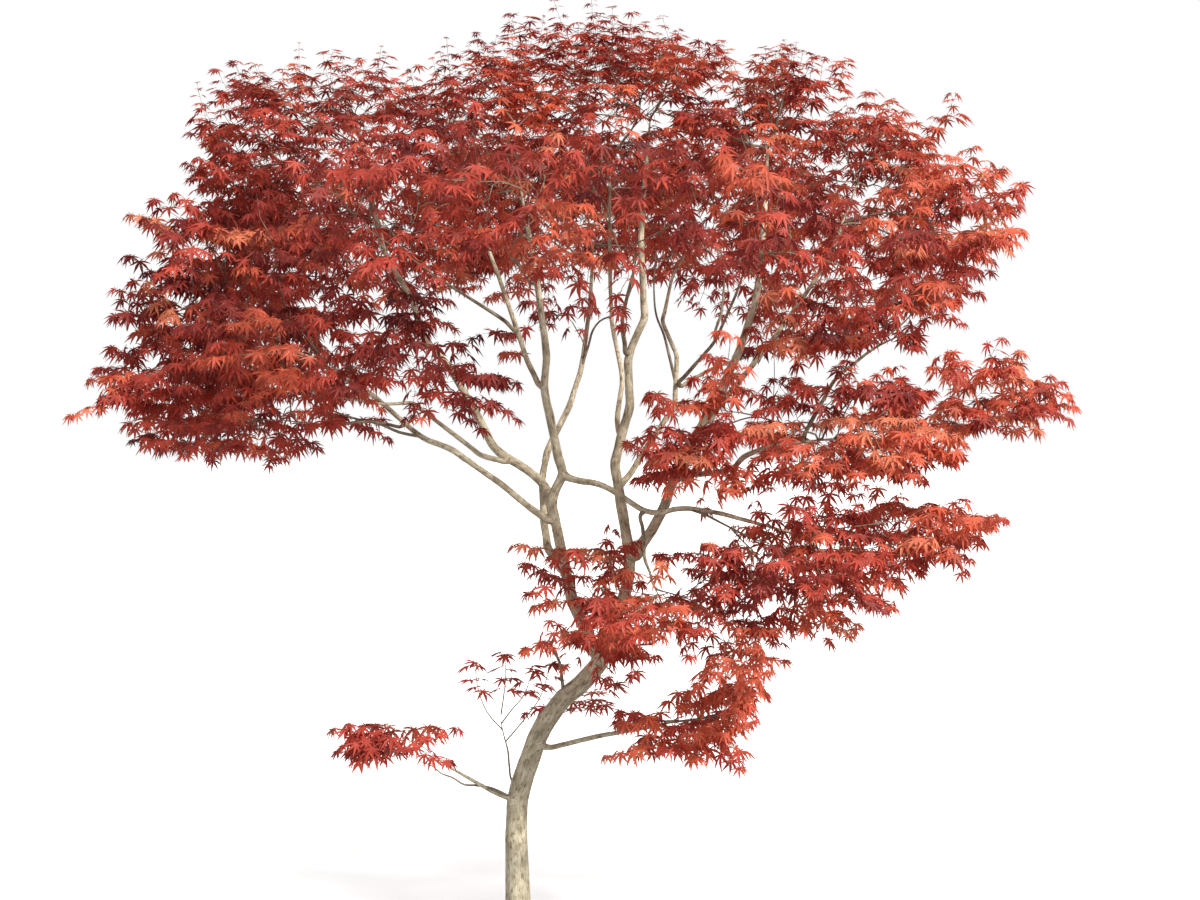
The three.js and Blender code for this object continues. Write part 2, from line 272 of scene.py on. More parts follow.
def shown(name, mesh, material, nodes):
    """Puts a finished mesh in the scene as a piece that stands for some CAD nodes."""
    piece = bpy.data.objects.new(name, mesh)
    bpy.context.scene.collection.objects.link(piece)
    mesh.materials.clear()
    mesh.materials.append(material)
    mesh.polygons.foreach_set("use_smooth", np.ones(len(mesh.polygons), bool))
    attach(piece, "root")
    if nodes:
        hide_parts(*nodes)
    return piece


# ---------------------------------------------------------------- limbs

def free(place, node):
    """How far a place on a limb's CAD node is from the other limbs, or on the trunk from the ground."""
    if node == "trunk":
        return place[2]
    others = [shape for name, shape in wood_shapes.items() if name != node]
    return min((shape.find_nearest(place)[0] - Vector(place)).length for shape in others)


def line_of(node):
    """The line through a limb's middle, as rows of x, y, z and radius from its base to its tip.
    Its CAD node is cut square to its way, step by step from the tip."""
    places, triangles = cad_mesh(node)
    sides = np.vstack([triangles[:, :2], triangles[:, 1:], triangles[:, ::2]])
    edges = np.unique(np.sort(sides, axis=1), axis=0)
    one, other = places[edges[:, 0]], places[edges[:, 1]]
    far = places[np.linalg.norm(places - places.mean(0), axis=1).argmax()]
    near = places[np.linalg.norm(places - far, axis=1).argmax()]
    tip = max((far, near), key=lambda end: free(end, node))
    gap = np.linalg.norm(places - tip, axis=1)
    reach = max(0.02, 0.08 * gap.max())
    middle = places[gap < reach].mean(0)
    radius = np.linalg.norm(places[gap < reach] - middle, axis=1).mean()
    next_ring = gap[gap > reach].min() + 2 * radius
    way = unit(places[(gap > reach) & (gap < next_ring)].mean(0) - middle)
    middle = middle + way * SECTION / 6
    rows = []
    while True:
        a, b = (one - middle) @ way, (other - middle) @ way
        cut = a * b < 0
        met = one[cut] + (other[cut] - one[cut]) * (a[cut] / (a[cut] - b[cut]))[:, None]
        met = met[np.linalg.norm(met - middle, axis=1) < 2.2 * radius + 0.02]
        if len(met) < 5:
            break
        found = met.mean(0)
        width = np.linalg.norm(met - found, axis=1).mean()
        if rows and width < 0.7 * radius:
            break
        radius = width
        if rows:
            way = unit(way + unit(rows[-1][:3] - found) * -1.5)
        rows.append(np.append(found, radius))
        middle = found + way * SECTION
    return np.array(rows[::-1])


def shape_of(node):
    """A CAD node as a shape to search for its nearest point."""
    places, triangles = cad_mesh(node)
    return BVHTree.FromPolygons(places.tolist(), triangles.tolist())


def eased(rows, step):
    """A smooth line through rows of x, y, z and more, at about the given step."""
    rows = np.asarray(rows, float)
    gap = np.maximum(np.linalg.norm(np.diff(rows[:, :3], axis=0), axis=1), 1e-6)
    slope = np.diff(rows, axis=0) / gap[:, None]
    lean = np.vstack([slope[:1], slope[-1:]]) if len(rows) == 2 else np.vstack([
        slope[:1],
        (slope[:-1] * gap[1:, None] + slope[1:] * gap[:-1, None]) / (gap[1:] + gap[:-1])[:, None],
        slope[-1:]])
    out = []
    for i, length in enumerate(gap):
        count = max(1, int(round(length / step)))
        t = (np.arange(count) / count)[:, None]
        out.append((2 * t**3 - 3 * t**2 + 1) * rows[i] + (t**3 - 2 * t**2 + t) * length * lean[i]
                   + (3 * t**2 - 2 * t**3) * rows[i + 1] + (t**3 - t**2) * length * lean[i + 1])
    return np.vstack(out + [rows[-1:]])


def frames_along(places):
    """The direction of a line at each point, and two directions square to it that don't twist."""
    along = unit(np.gradient(places, axis=0))
    first = np.cross(along[0], ANY_SIDE)
    side = np.empty_like(along)
    side[0] = unit(first)
    for i in range(1, len(places)):
        side[i] = unit(side[i - 1] - along[i] * (side[i - 1] @ along[i]))
    return along, side, np.cross(along, side)


def tube(rows, sides):
    """A closed tube along rows of x, y, z and radius: its corners and its triangles."""
    along, side, other = frames_along(rows[:, :3])
    turn = np.arange(sides) / sides * 2 * math.pi
    spoke = np.cos(turn)[None, :, None] * side[:, None] + np.sin(turn)[None, :, None] * other[:, None]
    around = rows[:, None, :3] + spoke * rows[:, None, 3:4]
    tip = rows[-1, :3] + along[-1] * rows[-1, 3]
    places = np.vstack([around.reshape(-1, 3), rows[0, :3], tip])
    i, j = np.meshgrid(np.arange(len(rows) - 1), np.arange(sides), indexing="ij")
    a = (i * sides + j).ravel()
    b = (i * sides + (j + 1) % sides).ravel()
    walls = np.vstack([np.c_[a, b, b + sides], np.c_[a, b + sides, a + sides]])
    k = np.arange(sides)
    foot = np.c_[(k + 1) % sides, k, np.full(sides, len(places) - 2)]
    last = (len(rows) - 1) * sides
    head = np.c_[last + k, last + (k + 1) % sides, np.full(sides, len(places) - 1)]
    return places, np.vstack([walls, foot, head])


def joined(parts):
    """Several (corners, faces) as one."""
    starts = np.cumsum([0] + [len(p) for p, _ in parts[:-1]])
    return np.vstack([p for p, _ in parts]), np.vstack([f + s for (_, f), s in zip(parts, starts)])


def travelled(rows):
    """How far along a line each of its rows is."""
    return np.append(0, np.cumsum(np.linalg.norm(np.diff(rows[:, :3], axis=0), axis=1)))


def thinned(rows, every):
    """Every so many rows, and the last."""
    return np.vstack([rows[:-1:every], rows[-1:]])


def rooted(rows):
    """The trunk's line, carried down to the ground, with its root flare."""
    low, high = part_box("trunk")
    foot = (high.y - low.y) / 2
    rows = np.vstack([[rows[0, 0], rows[0, 1], 0, rows[0, 3]], rows])
    rows = eased(thinned(rows, 3), RING_STEP)
    height = rows[:, 2]
    above = np.interp(CALM_HEIGHT, height, rows[:, 3])
    calm = above + (CALM_HEIGHT - height) * TRUNK_TAPER
    rows[:, 3] = np.where(height < CALM_HEIGHT, calm, rows[:, 3])
    rows[:, 3] += (foot - rows[0, 3]) * np.exp(-height / FLARE_HEIGHT)
    return rows


def grown_limbs():
    """Each limb's line, from inside its parent to its tip: rows of x, y, z and radius."""
    lines = {n: line_of(n) for n in WOOD}
    for rows in lines.values():
        rows[:, 3] *= LIMB_SWELL
        rows[:4, 3] = rows[4, 3] * 1.03
    limbs = {"trunk": rooted(lines["trunk"])}
    for name, rows in lines.items():
        if name == "trunk":
            continue
        parent = None
        for other, line in lines.items():
            gap = np.linalg.norm(line[:, :3] - rows[0, :3], axis=1) - line[:, 3]
            i = int(gap.argmin())
            if other != name and line[i, 3] > 0.9 * rows[0, 3] and (parent is None or gap[i] < parent[0]):
                parent = (gap[i], line[i])
        start = np.append(parent[1][:3], rows[0, 3])
        line = eased(np.vstack([start, thinned(rows, 2)]), RING_STEP)
        outside = np.maximum(travelled(line) - parent[1][3], 0)
        line[:, 3] *= 1 + COLLAR * np.exp(-outside / (COLLAR_REACH * rows[0, 3]))
        to_tip = travelled(line)[-1] - travelled(line)
        line[:, 3] *= TIP_SHARE + (1 - TIP_SHARE) * np.clip(to_tip / TIP_TAPER, 0, 1)
        limbs[name] = line
    return limbs


def side_twigs(limbs):
    """Adds the side twigs' lines to the limbs'. Each starts inside the limb it is named for."""
    for name, (parent, base, tip, way) in SIDE_TWIGS.items():
        line = limbs[parent]
        near = line[np.linalg.norm(line[:, :3] - way[0], axis=1).argmin()]
        ahead = np.linspace(base, tip, len(way))[:, None]
        rows = np.hstack([np.array(way) + near[:3] - way[0], ahead])
        rows[1:, :3] = (rows[1:, :3] + np.array(way)[1:]) / 2
        limbs[name] = eased(rows, 2 * RING_STEP)


def fine_shoots(limbs):
    """The thin upright shoots and the leaf nodes along them."""
    chains = []
    leaf_nodes = []
    for index, (parent, pairs, way) in enumerate(FINE_SHOOTS):
        line = limbs[parent]
        near = line[np.linalg.norm(line[:, :3] - way[0], axis=1).argmin(), :3]
        rows = np.hstack([np.vstack([near, way[1:]]), np.linspace(FINE_BASE, FINE_TIP, len(way))[:, None]])
        rows = eased(rows, RING_STEP)
        chains.append(rows)
        heading = frames_along(rows[:, :3])[0]
        to_tip = travelled(rows)[-1] - travelled(rows)
        for k in range(pairs):
            i = int(np.abs(to_tip - k * FINE_SPACING).argmin())
            tier = TIERS.index("low_twig_spray" if parent == "low_twig" else "trunk_back_spray")
            leaf_nodes.append((rows[i, :3], heading[i], tier, FINE_SPRAY + index, k, k == 0, 0, True))
    return chains, leaf_nodes


# ---------------------------------------------------------------- bark

def skin(name, limbs, voxel, most):
    """One skin of at most so many triangles over several limbs, with relief and a grain attribute."""
    places, faces = joined([tube(rows, LIMB_SIDES) for rows in limbs])
    raw = bpy.data.objects.new(name + "_raw", mesh_of(name + "_raw", places, faces))
    bpy.context.scene.collection.objects.link(raw)
    remesh = raw.modifiers.new("skin", "REMESH")
    remesh.mode = "VOXEL"
    remesh.voxel_size = voxel
    soften = raw.modifiers.new("soften", "SMOOTH")
    soften.factor = 0.5
    soften.iterations = 5
    mesh = taken(raw)
    triangles = sum(len(p.vertices) - 2 for p in mesh.polygons)
    thin = raw.modifiers.new("thin", "DECIMATE")
    thin.ratio = min(1.0, most / triangles)
    mesh = taken(raw)
    bpy.data.objects.remove(raw)
    relief(mesh, limbs)
    return mesh


def taken(obj):
    """The mesh that an object's modifiers give."""
    bpy.context.view_layer.update()
    return bpy.data.meshes.new_from_object(obj.evaluated_get(bpy.context.evaluated_depsgraph_get()))


def relief(mesh, limbs):
    """Lumps, and furrows along each limb. The grain attribute holds the place across and along it."""
    tree = kdtree.KDTree(sum(len(r) for r in limbs))
    data = []
    for rows in limbs:
        along, side, other = frames_along(rows[:, :3])
        far = travelled(rows)
        for i in range(len(rows)):
            tree.insert(rows[i, :3], len(data))
            data.append((rows[i, :3], along[i], side[i], other[i], far[i], rows[i, 3]))
    tree.balance()
    count = len(mesh.vertices)
    places = np.empty(3 * count)
    mesh.vertices.foreach_get("co", places)
    places = places.reshape(-1, 3)
    normals = np.array([v.normal for v in mesh.vertices])
    grain = np.empty((count, 3))
    shift = np.empty(count)
    for k, place in enumerate(places):
        at, along, side, other, far, radius = data[tree.find(place)[1]]
        off = place - at
        grain[k] = (off @ side, off @ other, far + off @ along)
        lump = noise.noise(Vector(place) * 14) + 0.5 * noise.noise(Vector(place) * 33)
        across = 150 if radius > 0.02 else 240
        furrow = noise.noise(Vector((grain[k][0] * across, grain[k][1] * across, grain[k][2] * 26)))
        shift[k] = lump * radius * 0.045 + furrow * min(0.0011, radius * 0.05)
    places += normals * shift[:, None]
    places[:, 2] = np.where(places[:, 2] < 0.004, 0.0, places[:, 2])
    mesh.vertices.foreach_set("co", places.astype(np.float32).ravel())
    held = mesh.attributes.new("grain", "FLOAT_VECTOR", "POINT")
    held.data.foreach_set("vector", grain.astype(np.float32).ravel())
    mesh.update()


# ---------------------------------------------------------------- twigs

def nodes_in(tier):
    """Where a tier's twigs have their nodes: domed layers of places inside it, with some holes left open."""
    shape = shape_of(tier)
    low, high = (np.array(corner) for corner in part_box(tier))
    centre, half = (low + high) / 2, (high - low) / 2
    step = NODE_STEP * SPARSE.get(tier, 1)
    layer = LAYER * SPARSE.get(tier, 1)
    axes = [np.arange(low[0], high[0], step), np.arange(low[1], high[1], step),
            np.arange(low[2] - half[2], high[2] + half[2], layer)]
    grid = np.stack(np.meshgrid(*axes, indexing="ij"), -1).reshape(-1, 3)
    grid += rng.uniform(-JITTER, JITTER, grid.shape) * [step, step, layer * 0.8]
    out = ((grid[:, :2] - centre[:2]) / half[:2]) ** 2
    grid[:, 2] += (0.5 - out.sum(1)) * DOME * half[2]
    found = []
    for place in grid:
        near, normal, _, _ = shape.find_nearest(place)
        if (Vector(place) - near).dot(normal) < 0:
            found.append(place)
    found = np.array(found)
    found = drawn_in(found, centre, half)
    openness = OPEN_BACK if centre[1] > BACK_FROM else OPEN_MORE
    return found[covered(found, openness)]


def drawn_in(places, centre, half):
    """Draws a tier's nodes in from its bounds, to leave room for the leaves, and lets the crown's hem hang
    unevenly."""
    top = centre[2] + half[2]
    above = INSET_TOP + (INSET - INSET_TOP) * np.clip((top - INSET_FROM) / INSET_OVER, 0, 1)
    outer = (places - centre) * (centre - CROWN_MIDDLE) > 0
    inset = np.where(outer, INSET, BACK_INNER if centre[1] > BACK_FROM else INSET_INNER)
    inset[:, 2] = np.where(places[:, 2] > centre[2], above, INSET_BOTTOM)
    places = centre + (places - centre) * np.maximum(half - inset, LEAST_HALF * half) / half
    hang = np.array([noise.noise(Vector(p / HEM_SIZE)) for p in places])
    in_hem = (places[:, 2] < centre[2]) & (places[:, 2] > HEM_FROM)
    places[:, 2] -= np.where(in_hem, HEM_DROP * np.clip(hang, 0, 0.5), 0)
    return places


def covered(places, openness):
    """Which places lie outside the foliage's small holes and its openings."""
    holes = np.array([noise.noise(Vector(p / HOLE_SIZE)) for p in places])
    kept = holes < HOLE_LEVEL - openness * np.exp(-((places[:, 2] - OPEN_HEIGHT) / OPEN_SPREAD) ** 2)
    for middle, size in OPENINGS:
        kept &= (((places - middle) / size) ** 2).sum(1) > 1
    return kept


def branch(limbs, points):
    """The branching rule. Each node in turn joins whatever is cheapest to reach: near, straight on from the
    way the wood already grows, and a short way back. Gives each node's parent, limb points first."""
    starts = np.vstack([r[2::5] for r in limbs.values()])
    ways = np.vstack([frames_along(r[:, :3])[0][2::5] for r in limbs.values()])
    left = np.concatenate([np.linalg.norm(r[2::5, :3] - r[-1, :3], axis=1) for r in limbs.values()])
    first = len(starts)
    count = len(points)
    parent = np.full(count, -1)
    cost = np.full(count, np.inf)
    path = np.zeros(first + count)
    waiting = np.ones(count, bool)

    def offer(place, way, base, index):
        step = points - place
        length = np.linalg.norm(step, axis=1)
        turn = 1 - (step @ way) / np.maximum(length, 1e-6)
        price = length * (1 + TURN * turn) + base
        better = waiting & (price < cost)
        cost[better] = price[better]
        parent[better] = index

    for i in range(first):
        offer(starts[i, :3], ways[i], LIMB_BACK * left[i], i)
    order = []
    for _ in range(count):
        i = int(np.argmin(np.where(waiting, cost, np.inf)))
        waiting[i] = False
        order.append(i)
        at = starts[parent[i], :3] if parent[i] < first else points[parent[i] - first]
        length = np.linalg.norm(points[i] - at)
        path[first + i] = path[parent[i]] + length
        offer(points[i], (points[i] - at) / max(length, 1e-6), BACK * path[first + i], first + i)
    return starts, ways, parent, order


def ordered_tree(parent, order, first):
    """How many nodes each node carries, itself counted, and which child leads on from it."""
    count = len(parent)
    load = np.ones(first + count, int)
    load[:first] = 0
    for i in reversed(order):
        load[parent[i]] += load[first + i]
    lead = np.full(first + count, -1)
    for i in order:
        if parent[i] >= first and (lead[parent[i]] < 0 or load[first + i] > load[lead[parent[i]]]):
            lead[parent[i]] = first + i
    return load, lead


def relaxed(places, parent, lead, load, first, rounds):
    """Takes the kinks out of the twigs, most where they carry most."""
    inner = np.flatnonzero((lead[first:] >= 0)) + first
    pull = np.clip(load[inner] / 12, 0.25, 0.6)[:, None]
    for _ in range(rounds):
        middle = (places[parent[inner - first]] + places[lead[inner]]) / 2
        places[inner] += (middle - places[inner]) * pull
    return places


def twig_sides(radius):
    """How many sides a twig's tube has."""
    if radius > 0.003:
        return 5
    return 4 if radius > 0.0016 else 3


def twigs_and_shoots(limbs, tiers):
    """Grows the twigs. Gives their chains as rows of x, y, z and radius, and the leaf nodes along them."""
    points = np.vstack(list(tiers.values()))
    owner = np.concatenate([np.full(len(p), TIERS.index(n)) for n, p in tiers.items()])
    starts, ways, parent, order = branch(limbs, points)
    first = len(starts)
    load, lead = ordered_tree(parent, order, first)
    places = relaxed(np.vstack([starts[:, :3], points]), parent, lead, load, first, EASING_ROUNDS)
    radius = TIP_RADIUS * np.maximum(load, 1) ** (1 / PIPE)
    radius[:first] = starts[:, 3]
    for i in order:
        radius[first + i] = min(radius[first + i], 0.85 * radius[parent[i]])
    spray = np.arange(first + len(points))
    for i in order:
        if parent[i] >= first and load[parent[i]] <= SPRAY:
            spray[first + i] = spray[parent[i]]
    middle = {TIERS.index(n): p.mean(0) for n, p in tiers.items()}
    chains = []
    leaf_nodes = []
    heads = [first + i for i in order if parent[i] < first or lead[parent[i]] != first + i]
    for head in heads:
        run = [head]
        while lead[run[-1]] >= 0:
            run.append(lead[run[-1]])
        back = parent[head - first]
        way = ways[back] if back < first else unit(places[back] - places[parent[back - first]])
        out = places[head] - places[back]
        length = np.linalg.norm(out)
        bend = places[back] + unit(way + 1.6 * unit(out)) * length * 0.35
        rows = [np.append(places[back], radius[head]), np.append(bend, radius[head])]
        rows += [np.append(places[n], radius[n]) for n in run]
        tip = run[-1]
        k = owner[tip - first]
        rows, extra = shoot(rows, middle[k], radius[tip])
        line = eased(rows, max(0.034, length * 0.45))
        line[:, 3] = np.maximum(line[:, 3], LEAST_RADIUS)
        chains.append(line)
        spot = np.array([r[:3] for r in rows])
        heading = unit(np.gradient(spot, axis=0))
        for n, node in enumerate(run + [tip] * extra):
            if load[node] <= LEAFY:
                last = n == len(run) + extra - 1
                beyond = n - len(run) + 1
                leaf_nodes.append((spot[n + 2], heading[n + 2], k, spray[node], n, last, beyond, False))
    return chains, leaf_nodes


def shoot(rows, middle, radius):
    """Carries a twig on by a short shoot: upright on the crown's top, outwards elsewhere."""
    place = rows[-1][:3]
    way = unit(place - rows[-2][:3])
    out = unit((place - middle) * [1, 1, 0.4])
    top = np.clip((place[2] - TOP_FROM) / TOP_OVER, 0, 1) * (place[2] > middle[2])
    steps = int(rng.integers(1, 3)) + int(top * (rng.random() < SHOOT_LUCK) * rng.integers(1, 4))
    aim = unit(way * 0.8 + out * (0.9 - 0.4 * top) + UP * (0.1 + 1.5 * top) + rng.normal(0, 0.2, 3))
    for k in range(steps):
        aim = unit(aim + UP * (0.3 * top - 0.22 * (1 - top)) * 0.5)
        place = place + aim * SHOOT_STEP * (1 - 0.12 * k)
        rows.append(np.append(place, max(LEAST_RADIUS, radius * (0.8 - 0.2 * k))))
    return rows, steps


# ---------------------------------------------------------------- leaves

def leaf_shape(droop, spread):
    """One leaf of seven pointed lobes, its stalk's end at the origin and its middle lobe along X."""
    places = [(0.0, 0.0, 0.0)]
    faces = []

    def at(angle, reach, lift=0.0):
        a = math.radians(angle)
        sag = -droop * reach * reach * (1 + 0.5 * abs(math.sin(a)))
        places.append((reach * math.cos(a), reach * math.sin(a), sag + lift))
        return len(places) - 1

    before = None
    for k, (angle, length) in enumerate(LOBES):
        wide = math.degrees(LOBE_WIDTH / WIDEST)
        right = at(angle * spread - wide, length * WIDEST, FOLD * length)
        tip = at(angle * spread, length)
        left = at(angle * spread + wide, length * WIDEST, FOLD * length)
        faces += [(0, right, tip), (0, tip, left)]
        if before is not None:
            faces.append((0, before, right))
        before = None
        if k + 1 < len(LOBES):
            halfway = (angle + LOBES[k + 1][0]) / 2
            before = at(halfway * spread, SINUS * min(length, LOBES[k + 1][1]))
            faces.append((0, left, before))
    return np.array(places), np.array(faces)


def leaves(leaf_nodes):
    """Places a pair of leaves at each node, and one more at each tip. Gives each tone's leaves."""
    rows = []
    for place, way, tier, spray, level, last, beyond, fine in leaf_nodes:
        side = unit(np.cross(way, UP) + rng.normal(0, 0.08, 3))
        if abs(way[2]) > 0.75 and level % 2:
            side = np.cross(way, side)
        scale = FINE_SCALE if fine else 1 - 0.16 * max(beyond, 0)
        for sign in (1, -1):
            ahead = 0.55 + 0.35 * rng.random() + (0.5 if last else 0)
            rows.append((place, side * sign + way * ahead, tier, spray, scale, fine))
        if last:
            rows.append((place, way + rng.normal(0, 0.15, 3), tier, spray, scale, fine))
    tones = {}
    for place, way, tier, spray, scale, fine in rows:
        high = FINE_FLATNESS if fine else np.clip((place[2] - FLAT_FROM) / FLAT_OVER, 0, 1)
        size = (LEAF_SIZE + (TOP_LEAF_SIZE - LEAF_SIZE) * high) * rng.uniform(0.76, 1.15) * scale
        stalk = unit(way * [1, 1, 0.5] + UP * 0.12) * size * rng.uniform(0.35, 0.6)
        heading = unit(way * [1, 1, 0] + [1e-4, 0, 0])
        dip = math.radians(np.clip(rng.normal(LOW_DIP + (TOP_DIP - LOW_DIP) * high, 13 - 5 * high), 0, 85))
        rib = heading * math.cos(dip) - UP * math.sin(dip)
        face = heading * math.sin(dip) + UP * math.cos(dip)
        roll = math.radians(rng.normal(0, 15 - 7 * high))
        across = unit(np.cross(face, rib))
        face = face * math.cos(roll) + across * math.sin(roll)
        across = np.cross(face, rib)
        shape = int(np.clip(rng.normal(1.9 - 1.2 * high, 0.8), 0, len(DROOPS) - 1))
        leaf = (place, place + stalk, rib, across, face, size, shape, tier)
        tones.setdefault(tone_of(place, spray), []).append(leaf)
    return tones


def leaf_mesh(items, shapes):
    """Joins leaves, each with its stalk, into one mesh's corners and faces."""
    parts = []
    for index, (local, faces) in enumerate(shapes):
        of_shape = [i for i in items if i[6] == index]
        if not of_shape:
            continue
        base = np.array([i[1] for i in of_shape])
        axes = np.array([[i[2], i[3], i[4]] for i in of_shape])
        size = np.array([i[5] for i in of_shape])
        places = base[:, None] + np.einsum("vk,nkd->nvd", local, axes) * size[:, None, None]
        starts = np.arange(len(of_shape))[:, None, None] * len(local)
        parts.append((places.reshape(-1, 3), (faces[None] + starts).reshape(-1, 3)))
    foot = np.array([i[0] for i in items])
    head = np.array([i[1] for i in items])
    across = np.array([i[3] for i in items]) * STALK_WIDTH
    face = np.array([i[4] for i in items]) * STALK_WIDTH
    places = np.stack([foot + across, foot - across * 0.5 + face, foot - across * 0.5 - face, head], 1)
    needle = np.array([(0, 1, 3), (1, 2, 3), (2, 0, 3)])
    starts = np.arange(len(items))[:, None, None] * 4
    parts.append((places.reshape(-1, 3), (needle[None] + starts).reshape(-1, 3)))
    return joined(parts)


def tone_of(place, spray):
    """Which tone a leaf takes. Its spray's luck is the leaves' own spread of colour; the terms by place are
    painted light and shade: brighter to the right and low down in front, darker at the back and in the
    crown's front.
    """
    in_crown = np.clip((place[2] - 2.0) / 0.5, 0, 1)
    luck = np.random.default_rng(int(spray)).normal(0, 0.55 if place[2] < 1.2 else 0.78)
    # Painted light and shade: the terms by place make leaves brighter to the right and in front, and darker
    # at the back and in the crown's front
    tone_and_painted_light = 2.2 + 0.25 * place[0] - 0.1 * place[1] + 0.6 * in_crown * min(place[1], 0) + luck
    return int(np.clip(round(tone_and_painted_light), 0, len(TONES) - 1))


# ---------------------------------------------------------------- materials

def new_material(name, rough):
    """An empty material with its shader. Gives the material, nodes, link and shader."""
    material = bpy.data.materials.new(name)
    material.use_nodes = True
    nodes = material.node_tree.nodes
    shader = nodes["Principled BSDF"]
    shader.inputs["Roughness"].default_value = rough
    shader.inputs["Specular IOR Level"].default_value = 0.3
    return material, nodes, material.node_tree.links.new, shader


def noise_node(nodes, link, where, scale, detail, stretch=None):
    """A noise texture at a scale, stretched along an axis where asked. Gives its factor."""
    texture = nodes.new("ShaderNodeTexNoise")
    texture.inputs["Scale"].default_value = scale
    texture.inputs["Detail"].default_value = detail
    if stretch:
        mapping = nodes.new("ShaderNodeMapping")
        mapping.inputs["Scale"].default_value = stretch
        link(where, mapping.inputs["Vector"])
        where = mapping.outputs["Vector"]
    link(where, texture.inputs["Vector"])
    return texture.outputs["Fac"]


def ramp(nodes, link, factor, stops):
    """A colour ramp through (position, colour) stops."""
    node = nodes.new("ShaderNodeValToRGB")
    elements = node.color_ramp.elements
    for k, (position, colour) in enumerate(stops):
        element = elements[k] if k < 2 else elements.new(position)
        element.position = position
        element.color = (*colour, 1)
    link(factor, node.inputs["Fac"])
    return node.outputs["Color"]


def mixed(nodes, link, kind, share, one, two):
    """Mixes two colours. Share may be a number or a socket."""
    node = nodes.new("ShaderNodeMix")
    node.data_type = "RGBA"
    node.blend_type = kind
    if isinstance(share, float):
        node.inputs["Factor"].default_value = share
    else:
        link(share, node.inputs["Factor"])
    link(one, node.inputs["A"])
    link(two, node.inputs["B"])
    return node.outputs["Result"]


def bark_material(name, light, dark, moss):
    """Bark with mottled patches and fine streaks along the limb."""
    material, nodes, link, shader = new_material(name, 0.85)
    grain = nodes.new("ShaderNodeAttribute")
    grain.attribute_name = "grain"
    where = grain.outputs["Vector"]
    patches = noise_node(nodes, link, where, 30, 6, (1, 1, 0.6))
    streaks = noise_node(nodes, link, where, 210, 4, (1, 1, 0.2))
    flecks = noise_node(nodes, link, where, 110, 6, (1, 1, 0.45))
    ground = ramp(nodes, link, patches, ((0.32, dark), (0.47, moss), (0.62, light)))
    lined = ramp(nodes, link, streaks, ((0.36, (0.66, 0.62, 0.55)), (0.58, (1, 1, 1))))
    spotted = ramp(nodes, link, flecks, ((0.37, (0.36, 0.30, 0.24)), (0.45, (1, 1, 1))))
    colour = mixed(nodes, link, "MULTIPLY", 0.8, ground, lined)
    colour = mixed(nodes, link, "MULTIPLY", 0.7, colour, spotted)
    link(colour, shader.inputs["Base Color"])
    bump = nodes.new("ShaderNodeBump")
    bump.inputs["Strength"].default_value = 0.5
    bump.inputs["Distance"].default_value = 0.0012
    link(streaks, bump.inputs["Height"])
    link(bump.outputs["Normal"], shader.inputs["Normal"])
    return material


def twig_material():
    material, nodes, link, shader = new_material("twig_bark", 0.75)
    place = nodes.new("ShaderNodeTexCoord").outputs["Object"]
    patches = noise_node(nodes, link, place, 30, 4)
    colour = ramp(nodes, link, patches, ((0.35, (0.14, 0.11, 0.082)), (0.65, (0.34, 0.285, 0.21))))
    link(colour, shader.inputs["Base Color"])
    return material


def leaf_material(name, colour):
    """A leaf of one autumn tone: paler and darker from leaf to leaf, speckled, and lit a little through."""
    material, nodes, link, shader = new_material(name, 0.5)
    place = nodes.new("ShaderNodeTexCoord").outputs["Object"]
    broad = noise_node(nodes, link, place, 9, 2)
    fine = noise_node(nodes, link, place, 120, 3)
    dark = tuple(c * 0.62 for c in colour)
    light = (colour[0] * 1.25, colour[1] * 1.5, colour[2] * 1.4)
    tint = ramp(nodes, link, broad, ((0.3, dark), (0.5, colour), (0.72, light)))
    specks = ramp(nodes, link, fine, ((0.35, (0.8, 0.7, 0.7)), (0.6, (1, 1, 1))))
    tint = mixed(nodes, link, "MULTIPLY", 0.6, tint, specks)
    link(tint, shader.inputs["Base Color"])
    bump = nodes.new("ShaderNodeBump")
    bump.inputs["Strength"].default_value = 0.25
    bump.inputs["Distance"].default_value = 0.001
    link(fine, bump.inputs["Height"])
    link(bump.outputs["Normal"], shader.inputs["Normal"])
    through = nodes.new("ShaderNodeBsdfTranslucent")
    link(tint, through.inputs["Color"])
    both = nodes.new("ShaderNodeMixShader")
    both.inputs["Fac"].default_value = GLOW
    link(shader.outputs["BSDF"], both.inputs[1])
    link(through.outputs["BSDF"], both.inputs[2])
    link(both.outputs["Shader"], nodes["Material Output"].inputs["Surface"])
    return material


# ---------------------------------------------------------------- stage

def camera():
    data = bpy.data.cameras.new("camera")
    data.lens = 60
    data.sensor_width = 36
    data.clip_end = 500
    eye = bpy.data.objects.new("camera", data)
    bpy.context.scene.collection.objects.link(eye)
    eye.location = EYE
    eye.rotation_euler = (math.radians(90), 0, 0)
    bpy.context.scene.camera = eye


def floor():
    corners = [(-FLOOR, -FLOOR, 0), (FLOOR, -FLOOR, 0), (FLOOR, FLOOR, 0), (-FLOOR, FLOOR, 0)]
    mesh = mesh_of("floor", corners, np.array([(0, 1, 2, 3)]))
    plane = bpy.data.objects.new("floor", mesh)
    bpy.context.scene.collection.objects.link(plane)
    material, nodes, link, shader = new_material("pale_floor", 0.9)
    place = nodes.new("ShaderNodeTexCoord").outputs["Object"]
    cloud = noise_node(nodes, link, place, 3, 2)
    link(ramp(nodes, link, cloud, ((0.3, (0.79, 0.79, 0.79)), (0.7, (0.81, 0.81, 0.81)))),
         shader.inputs["Base Color"])
    shader.inputs["Emission Color"].default_value = (1, 1, 1, 1)
    shader.inputs["Emission Strength"].default_value = 0.55
    mesh.materials.append(material)
    plane.visible_diffuse = False
    plane.visible_glossy = False


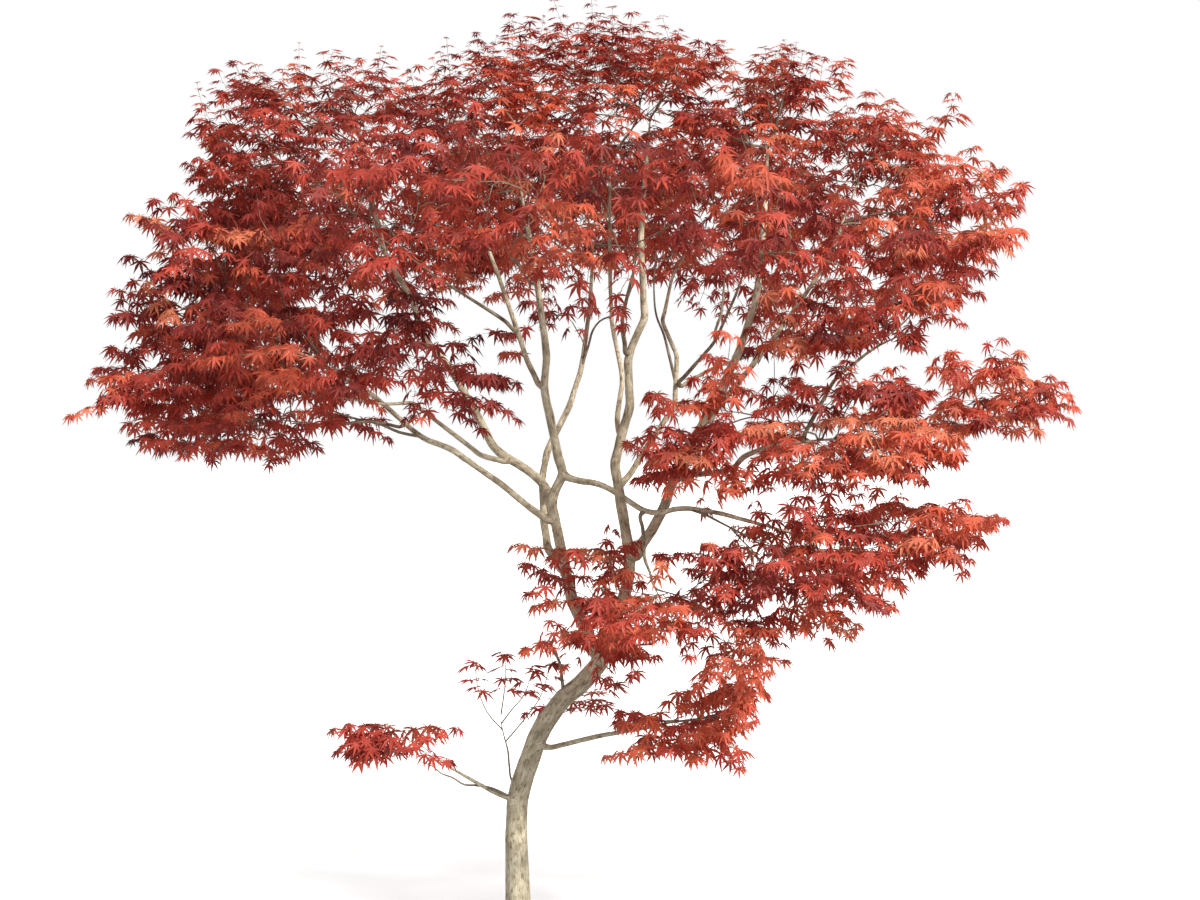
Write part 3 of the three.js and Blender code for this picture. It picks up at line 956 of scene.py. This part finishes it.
def lights():
    sun = bpy.data.lights.new("sun", "SUN")
    sun.energy = 4.7
    sun.angle = math.radians(6)
    sun.color = (1.0, 0.96, 0.9)
    lamp = bpy.data.objects.new("sun", sun)
    bpy.context.scene.collection.objects.link(lamp)
    lamp.rotation_euler = Vector(SUN_WAY).to_track_quat("Z", "Y").to_euler()
    world = bpy.data.worlds.new("studio")
    bpy.context.scene.world = world
    world.use_nodes = True
    nodes = world.node_tree.nodes
    link = world.node_tree.links.new
    soft = nodes["Background"]
    soft.inputs["Color"].default_value = (1, 1, 1, 1)
    soft.inputs["Strength"].default_value = 0.6
    seen = nodes.new("ShaderNodeBackground")
    seen.inputs["Strength"].default_value = 1.0
    seen.inputs["Color"].default_value = (1, 1, 1, 1)
    path = nodes.new("ShaderNodeLightPath")
    mix = nodes.new("ShaderNodeMixShader")
    link(path.outputs["Is Camera Ray"], mix.inputs["Fac"])
    link(soft.outputs[0], mix.inputs[1])
    link(seen.outputs[0], mix.inputs[2])
    link(mix.outputs[0], nodes["World Output"].inputs["Surface"])


camera()
floor()
lights()
bpy.context.scene.view_settings.view_transform = "Standard"

slots = {s["node"]: s["material_slot"] for s in frame["record"]["subparts"]}
WOOD = [n for n, s in slots.items() if s != "leaves"]
TIERS = [n for n, s in slots.items() if s == "leaves"]

wood_shapes = {n: shape_of(n) for n in WOOD}
limbs = grown_limbs()
bark = bark_material("bark", (0.72, 0.66, 0.50), (0.37, 0.32, 0.22), (0.56, 0.50, 0.365))
# The young bark's colours are darker than the trunk's partly for their own darker bark and partly as painted
# shade, for boughs that hang in the leaves' shade
young = bark_material("young_bark", (0.46, 0.41, 0.30), (0.19, 0.16, 0.11), (0.32, 0.28, 0.20))
for slot, material in (("bark", bark), ("young_bark", young)):
    members = [n for n in WOOD if slots[n] == slot]
    mesh = skin(slot + "_skin", [limbs[n] for n in members], VOXEL[slot], MOST_BARK_FACES[slot])
    shown(slot + "_skin", mesh, material, members)

side_twigs(limbs)
tiers = {n: nodes_in(n) for n in TIERS if n != "low_twig_spray"}
chains, leaf_nodes = twigs_and_shoots(limbs, tiers)
chains += [limbs[n] for n in SIDE_TWIGS]
fine_chains, fine_nodes = fine_shoots(limbs)
chains += fine_chains
leaf_nodes += fine_nodes
mesh = mesh_of("twigs", *joined([tube(rows, twig_sides(rows[0, 3])) for rows in chains]))
shown("twigs", mesh, twig_material(), [])

shapes = [leaf_shape(droop, 1 - 0.35 * droop) for droop in DROOPS]
most = MOST_LEAF_FACES // (len(shapes[0][1]) + 3)
for tone, items in sorted(leaves(leaf_nodes).items()):
    name, colour = TONES[tone]
    material = leaf_material("leaf_" + name, colour)
    for k in range(0, len(items), most):
        part = items[k:k + most]
        label = "leaves_" + name + ("" if k == 0 else "_more")
        mesh = mesh_of(label, *leaf_mesh(part, shapes))
        shown(label, mesh, material, sorted({TIERS[i[7]] for i in part}))
